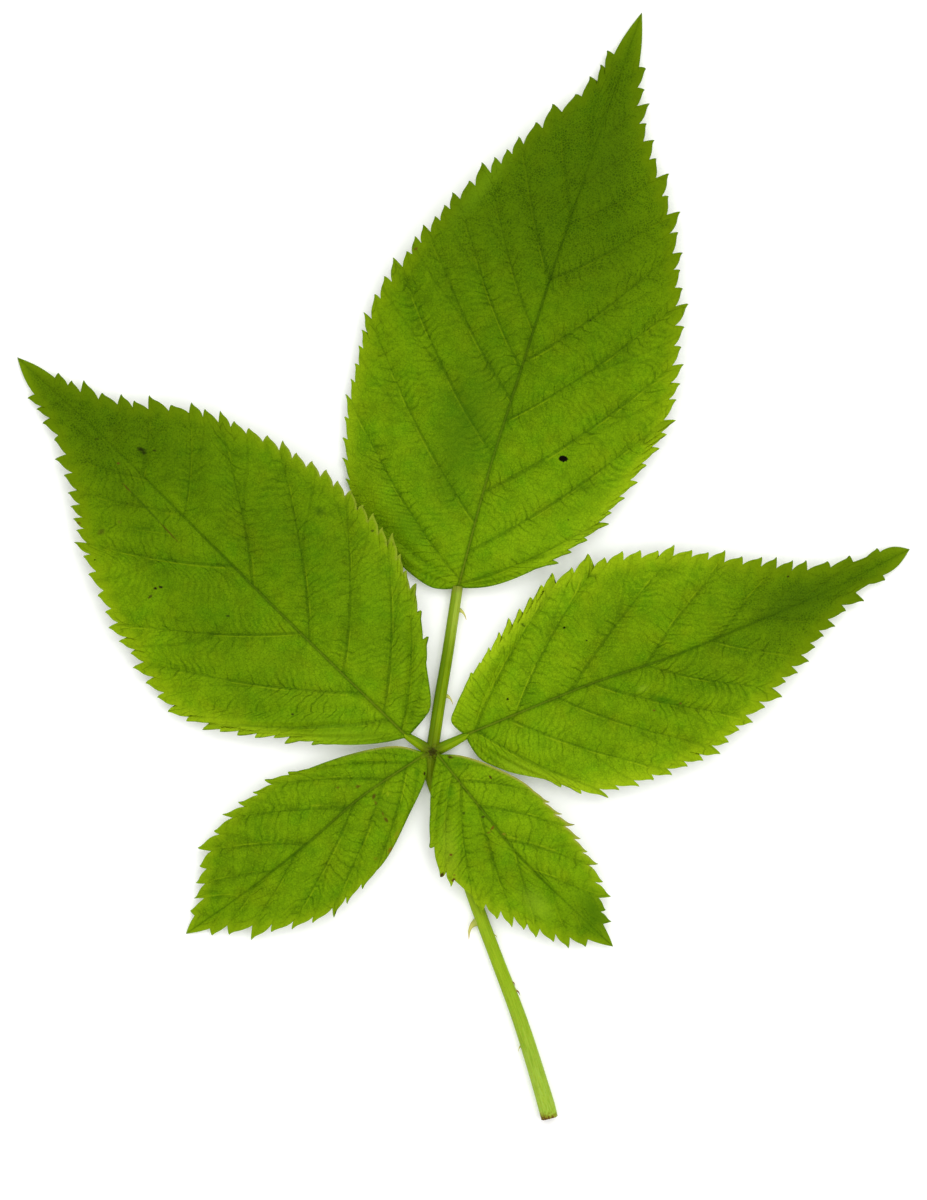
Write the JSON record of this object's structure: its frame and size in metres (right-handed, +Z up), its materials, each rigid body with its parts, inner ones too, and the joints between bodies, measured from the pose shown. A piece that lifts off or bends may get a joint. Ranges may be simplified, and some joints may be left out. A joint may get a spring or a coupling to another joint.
{
  "type": "bramble leaf",
  "caption": "Picked bramble leaf with toothed leaflets on a prickly stalk, lying flat, upper side up; natural greenery for scenes.",
  "frame": {"origin": "the flat underside of the hub where the leaflets meet, on the surface that the leaf lies on", "axes": "+Z up from the surface, out of the leaf's upper side; +Y towards the terminal leaflet's end; +X to the right"},
  "size_m": [0.0839, 0.1041, 0.004],
  "materials": {
    "leaf_blade": "fresh leaf tissue, satin upper side, paler matt underside",
    "stalk": "fresh green stalk, finely ridged, satin"
  },
  "bodies": {
    "root": {"petiole": "stalk", "terminal_leaflet": "leaf_blade", "upper_left_leaflet": "leaf_blade", "upper_right_leaflet": "leaf_blade", "lower_left_leaflet": "leaf_blade", "lower_right_leaflet": "leaf_blade"}
  },
  "joints": []
}
